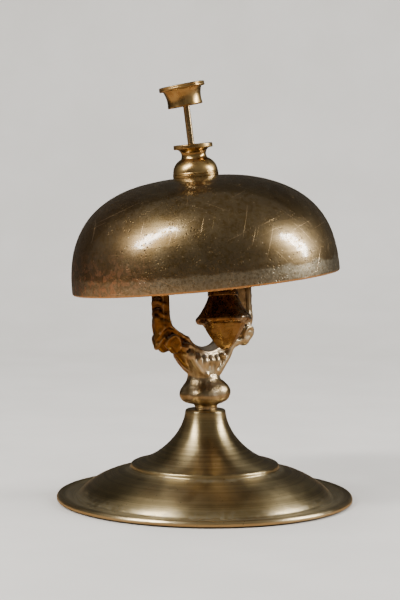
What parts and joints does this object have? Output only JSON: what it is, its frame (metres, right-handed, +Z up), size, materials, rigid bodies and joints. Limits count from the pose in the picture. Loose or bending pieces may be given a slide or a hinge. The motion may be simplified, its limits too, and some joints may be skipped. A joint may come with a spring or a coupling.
{
  "type": "counter service bell",
  "caption": "Antique brass counter bell: turned foot, ornate cast yoke, domed bell, and a plunger that swings an inner hammer.",
  "frame": {"origin": "centre of the resting face, under the foot", "axes": "+Z up, +X to the bell's right seen from the front, +Y to the back"},
  "size_m": [0.127, 0.127, 0.1792],
  "materials": {
    "foot_brass": "satin turned brass, dulled, with fine rings from the lathe and grey grime in the cove",
    "cast_brass": "old sand-cast brass, soft relief, dark in the hollows and bright on the high spots",
    "bell_brass": "aged brass, olive brown patina with pits, scratches and coppery spots, semi-gloss",
    "turned_brass": "turned brass, worn to a soft polish",
    "rod_brass": "drawn brass rod, rubbed bright where it slides",
    "plain_brass": "plain machined brass, dulled, out of sight inside the bell",
    "steel": "oiled steel, slightly browned",
    "spring_steel": "spring wire, dark",
    "leather": "old brown leather washer, compressed",
    "felt": "thin black felt"
  },
  "bodies": {
    "root": {"base_foot": "foot_brass", "felt_ring": "felt", "yoke_stud": "steel", "base_washer": "steel", "base_nut": "steel", "yoke": "cast_brass", "bridge": "plain_brass", "bridge_screws": "steel", "centre_post": "plain_brass", "hammer_hanger": "plain_brass", "post_nut": "steel", "seat_washer": "leather", "bell": "bell_brass", "finial_washer": "turned_brass", "finial": "turned_brass", "pivot_pin": "steel", "pivot_clip": "steel", "pivot_spacers": "plain_brass", "plunger_spring": "spring_steel"},
    "plunger": {"plunger_rod": "rod_brass", "plunger_tappet": "plain_brass", "spring_collar": "plain_brass", "button": "turned_brass"},
    "hammer": {"hammer_lever": "plain_brass", "hammer_head": "turned_brass"}
  },
  "joints": [
    {"name": "hammer_swing", "type": "hinge", "parent": "root", "child": "hammer", "pos_m": [0.00194, -0.00536, 0.11605], "axis": [-0.7617, -0.6428, -0.0814], "range_deg": [0, 62.5]},
    {"name": "plunger_press", "type": "slide", "parent": "root", "child": "plunger", "axis": [0.1323, 0, -0.9912], "range_m": [0, 0.00727], "deforming": ["plunger_spring"]}
  ],
  "couplings": [
    {"joint": "plunger_press", "follows": "hammer_swing", "m_per_rad": 0.006655}
  ]
}
